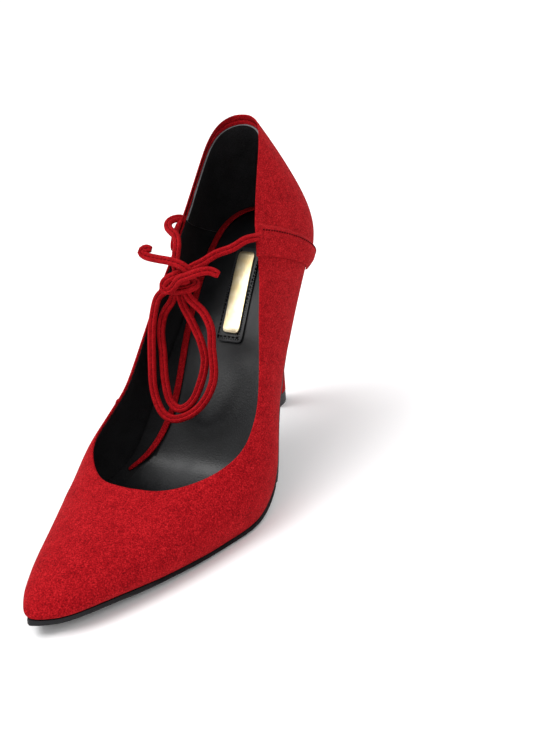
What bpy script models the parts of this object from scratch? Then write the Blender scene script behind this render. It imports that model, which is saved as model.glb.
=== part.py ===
"""Lace up heel: the left shoe of a pair of pointed court shoes on a stiletto heel.

Units are metres. The toe points to -Y, the outer side of the foot is +X and up is +Z. The floor is
z = 0, y = 0 lies under the ball of the foot, and x = 0 runs through the tip of the toe.
"""
import math
from collections import namedtuple

import bmesh
import bpy
import numpy as np
from mathutils import Vector

# Driving sizes of the last
FOOT_LENGTH = 0.2245
BALL_STATION = 0.405
BALL_WIDTH = 0.080
HEEL_HEIGHT = 0.096
TOE_SPRING = 0.0058
CROWN_HEIGHT = 0.047
BACK_HEIGHT = 0.0630
FLARE_FRONT = 0.0088
FLARE_HEEL = 0.0148
FULL_FRONT = 1.06
FULL_HEEL = 0.36
TOE_ROUND = 0.012
HEEL_ROUND = 0.026
HEEL_BEGINS = 0.010
HEEL_GROWS = 0.090
BACK_TILT = math.radians(20.9)
BACK_BULGE = 0.0018
BACK_LEAN = 0.0065
OUTER_TUCK = 0.0036
THROAT_STATION = 0.275
THROAT_ROUND = 0.018
THROAT_BLUNT = 1.4

# Walls, sheets and clearances
GAP = 0.0003
WALL = 0.0014
PANEL = 0.0010
SOLE = 0.0020
TREAD_DEPTH = 0.0002
INSOLE = 0.0030
HEEL_PAD = 0.0052
SOCK_CUP = 0.0022
INSOLE_GAP = 0.0002
RAND_WIDTH = 0.0032
RAND_HEIGHT = 0.0010
RAND_GAP = 0.0005
RAND_START = 0.462
RAND_END = 0.600

# The back panel and its cord tunnel
CORNER_STATION = 0.712
FOOT_INNER = 0.822
FOOT_OUTER = 0.840
CORNER_STEP = 0.0010
PANEL_LIP = 0.0014
TUNNEL_SPAN = 0.0104
TUNNEL_RISE = 0.0022

# The heel
TIP_WIDTH = 0.0096
TIP_DEPTH = 0.0120
TIP_HEIGHT = 0.0064
STEM_STATION = 0.883
STEM_AXIS = 0.089
LIP_STATION = 0.757
FLAP = 0.0012
BREAST_EDGE = 0.0004

# The patch and plate on the sock
PATCH_WIDTH = 0.0128
PATCH_HEIGHT = 0.0008
PATCH_MARGIN = 0.0036
PLATE_WIDTH = 0.0088
PLATE_LENGTH = 0.0440
PLATE_HEIGHT = 0.0009
PLATE_STATION = 0.764
PLATE_ASIDE = 0.0016
PLATE_CORNER = 0.0018

# The folded suede cord
CORD = 0.0038
CORD_STEP = 0.0062
NECK = Vector((0.0000, 0.0420, 0.0905))
NECK_TURN = 0.0021
NECK_LENGTH = 0.0085
COIL_TURNS = 1.6
COIL_PITCH = 0.0042
COIL_CLEAR = 0.0010

# Sections of the last. station: share of FOOT_LENGTH from the toe. spring: share of TOE_SPRING.
# rise: share of HEEL_HEIGHT. axis and half: the middle's sideways shift and the half width at the
# feather edge, as shares of BALL_WIDTH. crown: height of the closed section, share of
# CROWN_HEIGHT. wall: height of the quarter's topline, share of BACK_HEIGHT. sock: how far the
# sock's inner edge lies from the middle, share of BALL_WIDTH.
Section = namedtuple("Section", "station spring rise axis half crown wall sock")
LAST = (
    Section(0.000, 1.00, 0.000, 0.000, 0.065, 0.096, 0.067, 0.060),
    Section(0.030, 0.70, 0.000, 0.025, 0.100, 0.190, 0.134, 0.090),
    Section(0.100, 0.60, 0.000, 0.050, 0.203, 0.315, 0.223, 0.190),
    Section(0.200, 0.28, 0.000, 0.073, 0.331, 0.455, 0.324, 0.310),
    Section(0.315, 0.04, 0.000, 0.085, 0.446, 0.660, 0.424, 0.430),
    Section(0.405, 0.00, 0.000, 0.110, 0.500, 1.000, 0.533, 0.480),
    Section(0.495, 0.00, 0.060, 0.140, 0.465, 1.240, 0.630, 0.350),
    Section(0.585, 0.00, 0.338, 0.148, 0.390, 1.300, 0.560, 0.230),
    Section(0.670, 0.00, 0.562, 0.148, 0.356, 1.330, 0.603, 0.262),
    Section(0.760, 0.00, 0.722, 0.132, 0.335, 1.420, 0.735, 0.280),
    Section(0.850, 0.00, 0.867, 0.112, 0.322, 1.530, 0.860, 0.285),
    Section(0.940, 0.00, 0.968, 0.085, 0.300, 1.640, 0.962, 0.275),
    Section(1.000, 0.00, 1.000, 0.056, 0.290, 1.750, 1.000, 0.270),
)

# Levels of the heel from the sole's lip down to the tip. ahead: place of the front line, share of
# the way from the stem to the lip. height: of the front line, share of HEEL_HEIGHT. edge: half
# width of the sole's flap, in half tip widths. aside: how far the middle follows the seat's.
# behind: place of the back line behind the stem's front, in tip depths. back: height of the back
# line, share of HEEL_HEIGHT. half: greatest half width, in half tip widths.
Level = namedtuple("Level", "ahead height edge aside behind back half")
LEVELS = (
    Level(0.876, 0.7240, 4.85, 0.90, 2.10, 0.950, 5.10),
    Level(0.682, 0.7281, 4.00, 0.75, 2.02, 0.922, 4.65),
    Level(0.470, 0.7271, 3.12, 0.55, 1.83, 0.862, 3.80),
    Level(0.283, 0.7208, 2.42, 0.35, 1.64, 0.810, 3.10),
    Level(0.155, 0.7021, 1.95, 0.20, 1.46, 0.762, 2.52),
    Level(0.092, 0.6708, 1.64, 0.08, 1.30, 0.711, 2.08),
    Level(0.071, 0.6250, 1.42, 0.00, 1.15, 0.641, 1.72),
    Level(0.049, 0.5208, 1.20, 0.00, 1.03, 0.531, 1.40),
    Level(0.035, 0.4167, 1.09, 0.00, 0.98, 0.422, 1.24),
    Level(0.014, 0.2292, 1.02, 0.00, 0.975, 0.2292, 1.11),
)
RING = 12

# Chosen points of the cord, from the knot outwards
BAR_OUTER = (
    (0.0063, 0.0426, 0.1006),
    (0.0107, 0.0442, 0.1027),
    (0.0162, 0.0468, 0.1059),
    (0.0228, 0.0498, 0.1081),
)
BAR_INNER = (
    (-0.0014, 0.0426, 0.1042),
    (-0.0034, 0.0460, 0.1076),
    (-0.0061, 0.0498, 0.1100),
)
LOOP_OUTER = (
    (-0.0104, 0.0380, 0.0872),
    (-0.0122, 0.0365, 0.0827),
    (-0.0132, 0.0330, 0.0728),
    (-0.0123, 0.0281, 0.0586),
    (-0.0105, 0.0239, 0.0466),
    (-0.0058, 0.0208, 0.0380),
    (0.0006, 0.0196, 0.0355),
    (0.0085, 0.0201, 0.0382),
    (0.0149, 0.0215, 0.0433),
    (0.0191, 0.0238, 0.0502),
    (0.0206, 0.0263, 0.0576),
    (0.0187, 0.0302, 0.0682),
    (0.0176, 0.0330, 0.0760),
    (0.0135, 0.0354, 0.0822),
    (0.0087, 0.0368, 0.0855),
    (0.0059, 0.0375, 0.0874),
)
LOOP_INNER = (
    (-0.0062, 0.0416, 0.0838),
    (-0.0099, 0.0394, 0.0779),
    (-0.0109, 0.0365, 0.0701),
    (-0.0091, 0.0332, 0.0617),
    (-0.0070, 0.0288, 0.0504),
    (-0.0035, 0.0253, 0.0418),
    (0.0022, 0.0238, 0.0387),
    (0.0083, 0.0250, 0.0426),
    (0.0119, 0.0278, 0.0503),
    (0.0135, 0.0316, 0.0602),
    (0.0107, 0.0348, 0.0682),
    (0.0052, 0.0381, 0.0760),
    (0.0004, 0.0406, 0.0819),
    (-0.0014, 0.0417, 0.0844),
)
END_LEFT = (
    (0.0074, 0.0359, 0.1016),
    (0.0046, 0.0356, 0.1037),
    (-0.0004, 0.0357, 0.1050),
    (-0.0075, 0.0366, 0.1053),
    (-0.0137, 0.0376, 0.1057),
    (-0.0170, 0.0386, 0.1070),
    (-0.0155, 0.0396, 0.1086),
    (-0.0126, 0.0402, 0.1082),
)
END_RIGHT = (
    (0.0007, 0.0332, 0.0946),
    (0.0046, 0.0325, 0.0982),
    (0.0097, 0.0319, 0.1004),
    (0.0157, 0.0322, 0.1026),
    (0.0197, 0.0340, 0.1027),
    (0.0233, 0.0350, 0.1008),
)

SIDES = (-1, 1)
ROWS = 9
BACK_TURNS = 9


def smooth(xs, ys, x):
    """Value at x of a curve through the points that never overshoots them."""
    steps = np.diff(xs)
    slopes = np.diff(ys) / steps
    tangents = np.zeros(len(xs))
    tangents[0], tangents[-1] = slopes[0], slopes[-1]
    for k in range(1, len(xs) - 1):
        if slopes[k - 1] * slopes[k] > 0:
            near, far = 2 * steps[k] + steps[k - 1], steps[k] + 2 * steps[k - 1]
            tangents[k] = (near + far) / (near / slopes[k - 1] + far / slopes[k])
    k = int(np.clip(np.searchsorted(xs, x) - 1, 0, len(xs) - 2))
    q = (x - xs[k]) / steps[k]
    return float(
        ys[k] * (1 + 2 * q) * (1 - q) ** 2
        + tangents[k] * steps[k] * q * (1 - q) ** 2
        + ys[k + 1] * q * q * (3 - 2 * q)
        + tangents[k + 1] * steps[k] * q * q * (q - 1)
    )


def ease(value):
    """A soft step from 0 to 1."""
    q = min(max(value, 0.0), 1.0)
    return q * q * (3 - 2 * q)


def rounded(share):
    """A quarter circle that rises from 0 to 1."""
    q = min(max(share, 0.0), 1.0)
    return math.sqrt(max(1 - (1 - q) ** 2, 0.0))


def column(name, station):
    """Value of one column of the last's table at a station."""
    xs = [row.station for row in LAST]
    ys = [getattr(row, name) for row in LAST]
    return smooth(np.array(xs), np.array(ys), min(max(station, 0.0), 1.0))


def along(station):
    """Place of a station along the foot."""
    return (station - BALL_STATION) * FOOT_LENGTH


def station_of(y):
    """Station of a place along the foot."""
    return BALL_STATION + y / FOOT_LENGTH


def base_height(station):
    """Height of the feather edge, flat where the forefoot treads."""
    seat = HEEL_HEIGHT - SOLE - GAP
    lift = column("spring", station) * TOE_SPRING + column("rise", station) * seat
    return SOLE + GAP + max(lift - TREAD_DEPTH, 0.0)


def base_slope(station):
    """Slope of the base along the foot, as an angle."""
    step = 0.004
    low, high = max(station - step, 0.0), min(station + step, 1.0)
    return math.atan2(base_height(high) - base_height(low), along(high) - along(low))


def heelness(station):
    """0 in the forefoot and 1 at the heel."""
    return ease((along(station) - HEEL_BEGINS) / HEEL_GROWS)


def closing(station, inset):
    """How far the outline has closed at the toe and at the heel's back."""
    y = along(station)
    toe, back = along(0.0), along(1.0)
    shrunk = toe + inset + (y - toe) * (back - toe - 2 * inset) / (back - toe)
    front = rounded((shrunk - toe - inset) / (TOE_ROUND - inset))
    rear = rounded((back - inset - shrunk) / (HEEL_ROUND - inset))
    return shrunk, front, rear


def half_width(station, inset=0.0):
    """Half width of the outline at the feather edge."""
    _, front, rear = closing(station, inset)
    return (column("half", station) * BALL_WIDTH - inset) * front * rear


def middle(station):
    """Sideways place of the outline's middle."""
    return column("axis", station) * BALL_WIDTH


def curve_height(share, shoulder):
    """Height along a section's curve, as a share of its crown."""
    q = 1 - share
    return 3 * shoulder * share * q * q + 3 * share * share * q + share ** 3


def shoulder_at(station):
    """Height of the section's side handle."""
    return 0.30 - 0.03 * heelness(station)


def crown_at(station):
    """Height of the closed section over the feather edge."""
    return column("crown", station) * CROWN_HEIGHT


def topline_height(station):
    """Height of the opening's edge over the feather edge, the crown in front of the throat."""
    crown = crown_at(station)
    wall = column("wall", station) * BACK_HEIGHT
    past = (along(station) - along(THROAT_STATION)) / THROAT_ROUND
    return crown - (crown - wall) * rounded(past) ** THROAT_BLUNT


def share_at(station, height):
    """Share of the section's curve that reaches a height."""
    low, high = 0.0, 1.0
    target = height / crown_at(station)
    shoulder = shoulder_at(station)
    if target >= 1.0:
        return 1.0
    for _ in range(40):
        mid = 0.5 * (low + high)
        if curve_height(mid, shoulder) < target:
            low = mid
        else:
            high = mid
    return 0.5 * (low + high)


def last_point(station, side, share, inset=0.0):
    """A point of the last, moved inwards by inset."""
    y, front, rear = closing(station, inset)
    heel = heelness(station)
    half = half_width(station, inset)
    flare = (FLARE_FRONT * (1 - heel) + FLARE_HEEL * heel) * front * rear
    full = FULL_FRONT * (1 - heel) + FULL_HEEL * heel
    crown = (crown_at(station) - inset) * front
    q = 1 - share
    out = (
        half * q ** 3
        + 3 * (half + flare) * share * q * q
        + 3 * full * half * share * share * q
    )
    rise = curve_height(share, shoulder_at(station)) * crown
    if side > 0:
        out -= OUTER_TUCK * ease(rise / 0.045) * heel * front * rear * (1 - share)
    tilt = BACK_TILT * ease(along(station) / 0.060)
    grow = BACK_BULGE * (rise / 0.020) * math.exp(1 - rise / 0.020)
    lean = BACK_LEAN * (max(rise - 0.020, 0.0) / 0.050) ** 1.6
    shift = (grow - lean) * max(along(station) - 0.060, 0.0) ** 1.5 / 0.074 ** 1.5
    base = base_height(station_of(y))
    return Vector((
        middle(station) + side * out,
        y - math.sin(tilt) * rise + math.cos(tilt) * shift,
        base + math.cos(tilt) * rise + math.sin(tilt) * shift,
    ))


def sock_surface(station, x):
    """Height of the insole's top over the base, with its edges turned up."""
    half = half_width(station, WALL + GAP)
    edge = abs(x - middle(station)) / max(half, 0.001)
    reach = ease((station - 0.25) / 0.3) * (1 - ease((station - 0.50) / 0.22))
    cup = SOCK_CUP * min(edge, 1.0) ** 4 * reach
    return INSOLE + HEEL_PAD * heelness(station) + cup


def sock_point(station, x, lift):
    """A point over the base, lifted square to it."""
    slope = base_slope(station)
    return Vector((
        x,
        along(station) - math.sin(slope) * lift,
        base_height(station) + math.cos(slope) * lift,
    ))


def new_material(name, colour, roughness, metallic=0.0):
    """A plain surface for one sub-part."""
    material = bpy.data.materials.new(name)
    material.use_nodes = True
    shader = material.node_tree.nodes["Principled BSDF"]
    shader.inputs["Base Color"].default_value = (*colour, 1.0)
    shader.inputs["Roughness"].default_value = roughness
    shader.inputs["Metallic"].default_value = metallic
    return material


def new_object(name, mesh, material):
    """Puts a closed mesh into the scene, smooth except at its sharp edges."""
    data = bpy.data.meshes.new(name)
    bmesh.ops.recalc_face_normals(mesh, faces=mesh.faces)
    mesh.to_mesh(data)
    mesh.free()
    data.shade_smooth()
    data.set_sharp_from_angle(angle=math.radians(40))
    data.materials.append(material)
    thing = bpy.data.objects.new(name, data)
    bpy.context.scene.collection.objects.link(thing)
    return thing


def add_patch(mesh, points, flip):
    """Adds a grid of faces over a table of points."""
    rows = [[mesh.verts.new(point) for point in line] for line in points]
    for i in range(len(rows) - 1):
        for j in range(len(rows[0]) - 1):
            corners = [rows[i][j], rows[i + 1][j], rows[i + 1][j + 1], rows[i][j + 1]]
            mesh.faces.new(corners[::-1] if flip else corners)
    return rows


def bridge(mesh, first, second):
    """Joins two equal lines of vertices by a strip of faces."""
    for k in range(len(first) - 1):
        mesh.faces.new([first[k], first[k + 1], second[k + 1], second[k]])


def weld(mesh):
    """Joins vertices that lie on each other and drops faces without area."""
    bmesh.ops.remove_doubles(mesh, verts=mesh.verts, dist=1e-6)
    bmesh.ops.dissolve_degenerate(mesh, edges=mesh.edges, dist=1e-7)


def sheet(outer, inner):
    """A closed sheet between two equal tables of points."""
    mesh = bmesh.new()
    top = add_patch(mesh, outer, False)
    low = add_patch(mesh, inner, True)
    bridge(mesh, top[0], low[0])
    bridge(mesh, top[-1], low[-1])
    bridge(mesh, [row[0] for row in top], [row[0] for row in low])
    bridge(mesh, [row[-1] for row in top], [row[-1] for row in low])
    weld(mesh)
    return mesh


def back_stations():
    """Stations round the heel's back, at even turns of its rounded outline."""
    start = 1.0 - HEEL_ROUND / FOOT_LENGTH
    return [start + (1.0 - start) * math.sin(math.pi / 2 * k / BACK_TURNS)
            for k in range(BACK_TURNS + 1)]


def upper_stations():
    """Stations of the upper's columns, close together at toe, throat and back."""
    throat_end = THROAT_STATION + THROAT_ROUND / FOOT_LENGTH
    back = back_stations()
    toe = [THROAT_STATION * (k / 14) ** 1.7 for k in range(14)]
    throat = [THROAT_STATION + (throat_end - THROAT_STATION) * (k / 6) ** 1.8 for k in range(6)]
    quarter = [throat_end + (back[0] - throat_end) * k / 18 for k in range(18)]
    return toe + throat + quarter + back


def upper_column(station, side, inset):
    """One column of the upper's wall, from the feather edge to its top."""
    top = share_at(station, topline_height(station))
    return [last_point(station, side, top * j / ROWS, inset) for j in range(ROWS + 1)]


def make_upper(material):
    """Vamp and quarters: one hollow wall, open at the throat and underneath."""
    mesh = bmesh.new()
    stations = upper_stations()
    open_from = next(k for k, value in enumerate(stations) if value >= THROAT_STATION - 1e-9)
    for side in SIDES:
        outer = [upper_column(station, side, 0.0) for station in stations]
        inner = [upper_column(station, side, WALL) for station in stations]
        out_rows = add_patch(mesh, outer, side > 0)
        in_rows = add_patch(mesh, inner, side < 0)
        bridge(mesh, [row[0] for row in out_rows], [row[0] for row in in_rows])
        edge_out = [row[-1] for row in out_rows[open_from:]]
        edge_in = [row[-1] for row in in_rows[open_from:]]
        bridge(mesh, edge_out, edge_in)
    weld(mesh)
    return new_object("upper", mesh, material)


def panel_front(side, share):
    """Station of the back panel's front edge at a share of its height."""
    foot = FOOT_OUTER if side > 0 else FOOT_INNER
    return foot + (CORNER_STATION - foot) * share


def panel_top(station):
    """Height of the back panel's top edge."""
    step = CORNER_STEP * (1 - ease((station - CORNER_STATION) / 0.12))
    return topline_height(station) + PANEL_LIP + step


def tunnel_bulge(distance):
    """How far the tunnel stands out at a distance behind the panel's front edge."""
    if distance >= TUNNEL_SPAN:
        return 0.0
    return TUNNEL_RISE * math.sin(math.pi * min(distance / TUNNEL_SPAN, 1.0)) ** 0.6


def panel_lines():
    """Lines of the panel: distance behind its front edge, then how far on to the back seam."""
    tunnel = [(TUNNEL_SPAN * q, 0.0) for q in (0.0, 0.06, 0.2, 0.4, 0.6, 0.8, 0.94, 1.0)]
    side = [(TUNNEL_SPAN, k / 4) for k in range(1, 5)]
    back = [(TUNNEL_SPAN, 1.0 + k) for k in range(1, BACK_TURNS + 1)]
    return tunnel + side + back


def panel_point(side, line, share, lift):
    """A point of the back panel, at a lift over the last."""
    distance, beyond = line
    start = panel_front(side, share) + distance / FOOT_LENGTH
    back = back_stations()
    station = start + (back[0] - start) * min(beyond, 1.0)
    if beyond > 1.0:
        station = back[round(beyond) - 1]
    height = share * panel_top(station)
    bulge = tunnel_bulge(distance) if beyond == 0.0 and lift > GAP else 0.0
    return last_point(station, side, share_at(station, height), -(lift + bulge))


def make_panel(material):
    """The back panel, wrapped round the heel from one tunnel to the other."""
    lines = panel_lines()
    around = [(-1, line) for line in lines] + [(1, line) for line in reversed(lines[:-1])]

    def table(lift):
        return [
            [panel_point(side, line, j / ROWS, lift) for j in range(ROWS + 1)]
            for side, line in around
        ]

    return new_object("counter_panel", sheet(table(GAP + PANEL), table(GAP)), material)


def stem_x():
    """Sideways place of the heel's stem."""
    return STEM_AXIS * BALL_WIDTH


def breast_points():
    """The sole's upper side from its lip down the heel's front: place, height, half width, aside."""
    stem, lip = along(STEM_STATION), along(LIP_STATION)
    tip = TIP_WIDTH / 2
    line = [(stem + (lip - stem) * row.ahead, HEEL_HEIGHT * row.height, tip * row.edge, row.aside)
            for row in LEVELS]
    return line + [(stem, TIP_HEIGHT + GAP, tip, 0.0)]


def sole_line():
    """Cross lines of the sole, toe to tip: middle, height, half width, normal, thickness."""
    stations = [0.16 * (k / 8) ** 1.8 for k in range(8)]
    stations += [0.16 + (LIP_STATION - 0.16) * k / 24 for k in range(25)]
    lines = []
    for station in stations:
        y = closing(station, -0.0006)[0]
        slope = base_slope(station)
        normal = Vector((0, -math.sin(slope), math.cos(slope)))
        half = half_width(station, -0.0006)
        half -= 0.0016 * ease((station - 0.50) / (LIP_STATION - 0.50))
        point = Vector((middle(station), y, base_height(station_of(y)))) - GAP * normal
        lines.append((point, half, normal, SOLE))
    breast = breast_points()
    places = [(lines[-1][0].y, lines[-1][0].z)] + [(y, z) for y, z, _, _ in breast]
    for k, (y, z, half, aside) in enumerate(breast):
        before, after = places[k], places[min(k + 2, len(places) - 1)]
        run = Vector((0, after[0] - before[0], after[1] - before[1])).normalized()
        x = stem_x() + (middle(station_of(y)) - stem_x()) * aside
        thick = SOLE + (FLAP - SOLE) * ease((k + 1) / 4)
        lines.append((Vector((x, y, z)), half, Vector((0, -run.z, run.y)), thick))
    return lines


def make_outsole(material):
    """The sole with its flat tread, its arch and the flap down the heel's front."""
    shares = (-1.0, -0.55, 0.0, 0.55, 1.0)
    top = []
    low = []
    for point, half, normal, thick in sole_line():
        across = [Vector((share * half, 0, 0)) for share in shares]
        top.append([point + step for step in across])
        low.append([point + step - thick * normal for step in across])
    for row in low:
        for point in row:
            point.z = max(point.z, 0.0)
    return new_object("outsole", sheet(top, low), material)


def d_line(side, front, rear, flat, half):
    """Half of a section with a flat front: back middle, round the side, to the front corner."""
    (front_y, front_z), (rear_y, rear_z) = front, rear
    belly = front_y + 0.45 * (rear_y - front_y)
    points = []
    for k in range(RING + 1):
        turn = math.pi * k / RING
        if k <= RING / 2:
            x, y = half * math.sin(turn), belly + (rear_y - belly) * math.cos(turn)
        else:
            x, y = flat + (half - flat) * math.sin(turn), belly + (belly - front_y) * math.cos(turn)
        z = front_z + (rear_z - front_z) * (y - front_y) / (rear_y - front_y)
        points.append((side * x, y, z))
    return points


def seat_line(side):
    """Half of the heel's top, under the feather edge from the back to the sole's lip."""
    front = along(LIP_STATION) + 2 * GAP
    back = along(1.0)
    turn_y = back - HEEL_ROUND
    points = []
    for k in range(RING + 1):
        q = 2 * k / RING
        if q <= 1:
            y = turn_y + HEEL_ROUND * math.cos(q * math.pi / 2)
        else:
            y = turn_y + (front - turn_y) * (q - 1)
        station = station_of(y)
        x = middle(station) + side * max(half_width(station) - GAP, 0.0)
        points.append((x, y, base_height(station) - GAP))
    return points


def heel_rings():
    """Both halves of each of the heel's sections, from the tip up to the seat."""
    stem = along(STEM_STATION)
    breast = breast_points()
    rings = []
    tip = TIP_WIDTH / 2
    rows = [(row.behind, HEEL_HEIGHT * row.back, tip * row.half) for row in LEVELS[1:]]
    rows.append((1.0, TIP_HEIGHT + GAP, tip * 1.06))
    for k in range(len(rows) - 1, -1, -1):
        behind, high, half = rows[k]
        y, z, edge, aside = breast[k + 1]
        before, after = breast[k], breast[min(k + 2, len(breast) - 1)]
        run = Vector((0, after[0] - before[0], after[1] - before[1])).normalized()
        front = (y - GAP * run.z, z + GAP * run.y if k < len(rows) - 1 else z)
        ring = []
        for side in SIDES:
            line = d_line(side, front, (stem + TIP_DEPTH * behind, high), edge + BREAST_EDGE, half)
            shift = [(middle(station_of(p[1])) - stem_x()) * aside + stem_x() for p in line]
            ring.append([Vector((p[0] + dx, p[1], p[2])) for p, dx in zip(line, shift)])
        rings.append(ring)
    rings.append([[Vector(point) for point in seat_line(side)] for side in SIDES])
    return rings


def loft(rings):
    """A closed solid through sections that are given as their two halves."""
    mesh = bmesh.new()
    levels = [[[mesh.verts.new(point) for point in half] for half in ring] for ring in rings]
    for low, high in zip(levels, levels[1:]):
        for side in range(2):
            bridge(mesh, low[side], high[side])
        bridge(mesh, [low[0][-1], low[1][-1]], [high[0][-1], high[1][-1]])
    for ring in (levels[0], levels[-1]):
        bridge(mesh, ring[0], ring[1])
    weld(mesh)
    return mesh


def make_heel(material):
    """The covered heel, from the tip's top to the seat."""
    return new_object("heel", loft(heel_rings()), material)


def make_top_piece(material):
    """The heel's tip block, under the stem and the sole's flap."""
    stem = along(STEM_STATION)
    half = TIP_WIDTH / 2
    rings = []
    for z in (0.0, TIP_HEIGHT):
        front, rear = (stem - GAP - FLAP, z), (stem + TIP_DEPTH, z)
        lines = [d_line(side, front, rear, half, half * 1.06) for side in SIDES]
        rings.append([[Vector((p[0] + stem_x(), p[1], z)) for p in line] for line in lines])
    return new_object("top_piece", loft(rings), material)


def make_insole(material):
    """The insole inside the upper's wall, turned up at its edges."""
    stations = [0.055 + 0.25 * (k / 5) for k in range(5)]
    stations += [0.305 + 0.575 * k / 24 for k in range(24)]
    stations += [1.0 - 0.12 * (1 - k / 7) ** 1.8 for k in range(7)] + [0.9995]
    shares = [-1.0, -0.9, -0.7, -0.35, 0.0, 0.35, 0.7, 0.9, 1.0]

    def line(station, top):
        half = half_width(station, WALL + GAP)
        limit = closing(station, WALL + GAP)[0]
        found = station_of(limit)
        row = []
        for share in shares:
            x = middle(station) + share * half
            row.append(sock_point(found, x, sock_surface(station, x) if top else INSOLE_GAP))
        return row

    outer = [line(station, True) for station in stations]
    inner = [line(station, False) for station in stations]
    return new_object("insole", sheet(outer, inner), material)


def rand_path():
    """Middle line of the rand on the insole, from the arch round the heel: station and place."""
    inset = WALL + 2 * GAP + RAND_WIDTH / 2
    count = 16
    path = []
    for side, start in ((-1, RAND_START), (1, RAND_END)):
        part = []
        for k in range(count + 1):
            station = start + (1.0 - start) * (1 - (1 - k / count) ** 1.7)
            reach = half_width(station, inset)
            if side < 0:
                reach = min(reach, column("sock", station) * BALL_WIDTH)
            y = closing(station, inset)[0]
            part.append(Vector((middle(station) + side * reach, y, 0)))
        path += part if side < 0 else part[-2::-1]
    return path


def make_rand(material):
    """The narrow suede strip round the edge of the sock."""
    path = rand_path()
    top = []
    low = []
    for k, point in enumerate(path):
        before, after = path[max(k - 1, 0)], path[min(k + 1, len(path) - 1)]
        run = (after - before).normalized()
        width = RAND_WIDTH * rounded((k + 0.35) / 3)
        across = Vector((run.y, -run.x, 0)) * width / 2
        rows = []
        for lift in (RAND_GAP + RAND_HEIGHT, RAND_GAP):
            row = []
            for share in (-1.0, 0.0, 1.0):
                place = point + share * across
                station = station_of(place.y)
                row.append(sock_point(station, place.x, sock_surface(station, place.x) + lift))
            rows.append(row)
        top.append(rows[0])
        low.append(rows[1])
    return new_object("insole_rand", sheet(top, low), material)


def make_slip(name, width, length, corner, low, high, material):
    """A thin piece with rounded corners that follows the sock."""
    centre = along(PLATE_STATION)
    slope = base_slope(PLATE_STATION)
    count = 14
    tables = ([], [])
    for k in range(count + 1):
        share = 0.5 - 0.5 * math.cos(math.pi * k / count)
        along_it = (share - 0.5) * length
        spare = min(share, 1 - share) * length
        half = width / 2 - corner * (1 - rounded(spare / corner))
        station = station_of(centre + along_it * math.cos(slope))
        for table, lift in zip(tables, (high, low)):
            table.append([
                sock_point(station, x, sock_surface(station, x) + lift)
                for x in [middle(station) + PLATE_ASIDE * (0.5 - share) * 2 + side * half
                          for side in (-1.0, 0.0, 1.0)]
            ])
    return new_object(name, sheet(*tables), material)


def route(points, spacing):
    """Points a spacing apart on a smooth curve through the chosen ones."""
    points = [Vector(point) for point in points]
    padded = [2 * points[0] - points[1]] + points + [2 * points[-1] - points[-2]]
    dense = []
    for a, b, c, d in zip(padded, padded[1:], padded[2:], padded[3:]):
        for k in range(16):
            q = k / 16
            dense.append(0.5 * (2 * b + (c - a) * q + (2 * a - 5 * b + 4 * c - d) * q * q
                                + (3 * b - a - 3 * c + d) * q ** 3))
    dense.append(points[-1])
    marks = [0.0]
    for first, second in zip(dense, dense[1:]):
        marks.append(marks[-1] + (second - first).length)
    count = max(2, round(marks[-1] / spacing))
    found = []
    for k in range(count + 1):
        goal = marks[-1] * k / count
        i = min(max(int(np.searchsorted(marks, goal)), 1), len(dense) - 1)
        q = (goal - marks[i - 1]) / max(marks[i] - marks[i - 1], 1e-9)
        found.append(dense[i - 1].lerp(dense[i], q))
    return found


def make_cord(name, points, material):
    """A round tube along a line of points."""
    data = bpy.data.curves.new(name, "CURVE")
    data.dimensions = "3D"
    data.bevel_depth = CORD / 2
    data.bevel_resolution = 2
    data.use_fill_caps = True
    spline = data.splines.new("POLY")
    spline.points.add(len(points) - 1)
    for slot, point in zip(spline.points, points):
        slot.co = (*point, 1.0)
    data.materials.append(material)
    thing = bpy.data.objects.new(name, data)
    bpy.context.scene.collection.objects.link(thing)
    return thing


def mouth(side):
    """Middle of a tunnel's mouth and the way the cord leaves it."""
    line = (TUNNEL_SPAN * 0.5, 0.0)
    ends = []
    for share in (0.88, 1.0):
        inner = panel_point(side, line, share, GAP)
        outer = panel_point(side, line, share, GAP + PANEL)
        ends.append((inner + outer) / 2)
    out = (ends[1] - ends[0]).normalized()
    return ends[1] + 3 * GAP * out, out


def bar_points():
    """The cord from one tunnel's mouth through the knot's neck to the other mouth."""
    outer, outer_way = mouth(1)
    inner, inner_way = mouth(-1)
    turn = []
    for k in range(9):
        angle = math.pi * k / 8
        turn.append(NECK + NECK_TURN * Vector((math.cos(angle), 0, -math.sin(angle))))
    down = [NECK + Vector((NECK_TURN, 0, NECK_LENGTH * q)) for q in (1.0, 0.5)]
    up = [NECK + Vector((-NECK_TURN, 0, NECK_LENGTH * q)) for q in (0.5, 1.0)]
    first = [outer, outer + 0.0035 * outer_way] + [Vector(p) for p in BAR_OUTER[::-1]]
    last = [Vector(p) for p in BAR_INNER] + [inner + 0.0035 * inner_way, inner]
    first = route(first + down[:1], CORD_STEP)
    last = route(up[1:] + last, CORD_STEP)
    return first + down[1:] + turn + up[:1] + last


def coil_points():
    """The knot: the cord wound round the neck's two strands."""
    wide = NECK_TURN + CORD + COIL_CLEAR
    deep = CORD + COIL_CLEAR
    count = round(COIL_TURNS * 14)
    points = []
    for k in range(count + 1):
        turn = k / 14
        angle = 2 * math.pi * turn + 0.6
        rise = NECK_LENGTH * 0.62 - COIL_PITCH * turn
        points.append(NECK + Vector((wide * math.cos(angle), -deep * math.sin(angle), rise)))
    return points


def clear_scene():
    """Removes what the scene holds."""
    for thing in list(bpy.data.objects):
        bpy.data.objects.remove(thing)


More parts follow.
